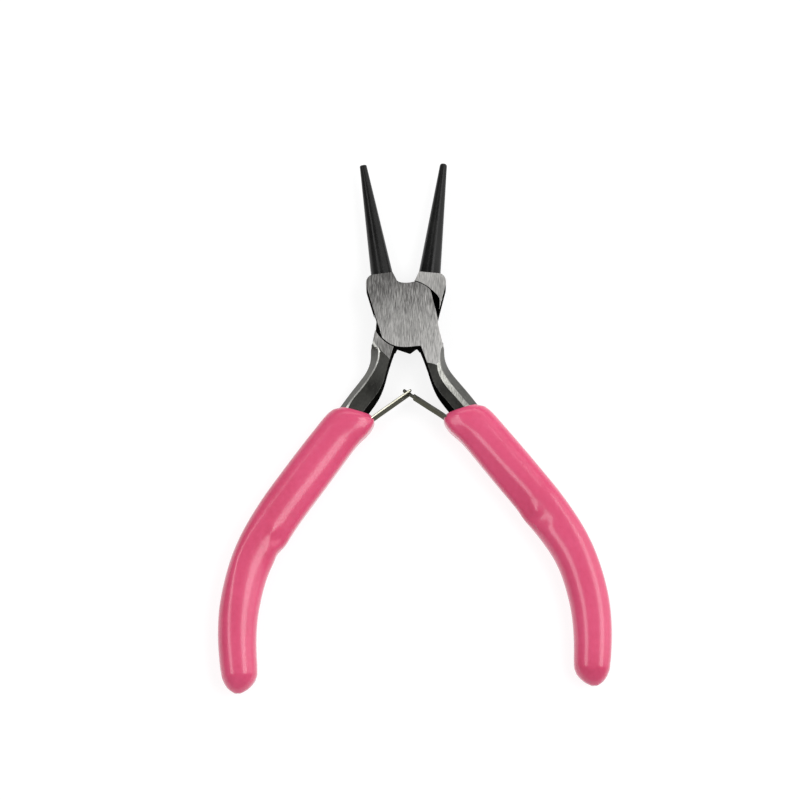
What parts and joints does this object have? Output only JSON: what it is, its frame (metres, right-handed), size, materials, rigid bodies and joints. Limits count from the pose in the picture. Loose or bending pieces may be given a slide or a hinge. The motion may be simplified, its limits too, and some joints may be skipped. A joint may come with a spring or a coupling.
{
  "type": "round nose pliers",
  "caption": "Small lap-jointed pliers with slim tapered round jaws, interlocking leaf return springs and curved soft dipped grips.",
  "frame": {"origin": "on the pivot axis, in the plane of the flat back of the joint, which the pliers lie on", "axes": "+Y from the pivot towards the jaw tips along the tool's centre line, +Z out of the flat front of the joint, +X to the right when seen from the front"},
  "size_m": [0.0886, 0.1201, 0.0086],
  "materials": {
    "forged_steel": "black oxide forging, satin, with the joint's flat faces ground bright along the tool's length",
    "rivet_steel": "satin steel",
    "spring_steel": "cold rolled spring steel, dull, with bright sheared edges",
    "grip_pink": "soft pink dipped PVC, satin gloss"
  },
  "bodies": {
    "rear_body": {"rear_half": "forged_steel", "left_grip": "grip_pink", "left_leaf_root": "spring_steel", "left_spring_rivet": "rivet_steel"},
    "front_body": {"front_half": "forged_steel", "pivot_rivet": "rivet_steel", "right_grip": "grip_pink", "right_leaf_root": "spring_steel", "right_spring_rivet": "rivet_steel"},
    "left_leaf": {"left_leaf_arm": "spring_steel"},
    "right_leaf": {"right_leaf_arm": "spring_steel"}
  },
  "joints": [
    {"name": "pivot", "type": "hinge", "parent": "rear_body", "child": "front_body", "pos_m": [0, 0, 0.0043], "axis": [0, 0, -1], "range_deg": [0, 26.3], "stiffness_Nm_per_rad": 1},
    {"name": "right_leaf_bend", "type": "hinge", "parent": "front_body", "child": "right_leaf", "pos_m": [0.0079, -0.0228, 0.0043], "axis": [0, 0, -1], "range_deg": [0, 27.4]},
    {"name": "left_leaf_bend", "type": "hinge", "parent": "rear_body", "child": "left_leaf", "pos_m": [-0.0079, -0.0228, 0.0043], "axis": [0, 0, 1], "range_deg": [0, 27.4]}
  ],
  "couplings": [
    {"joint": "right_leaf_bend", "follows": "pivot", "ratio": 1.037},
    {"joint": "left_leaf_bend", "follows": "pivot", "ratio": 1.037}
  ]
}
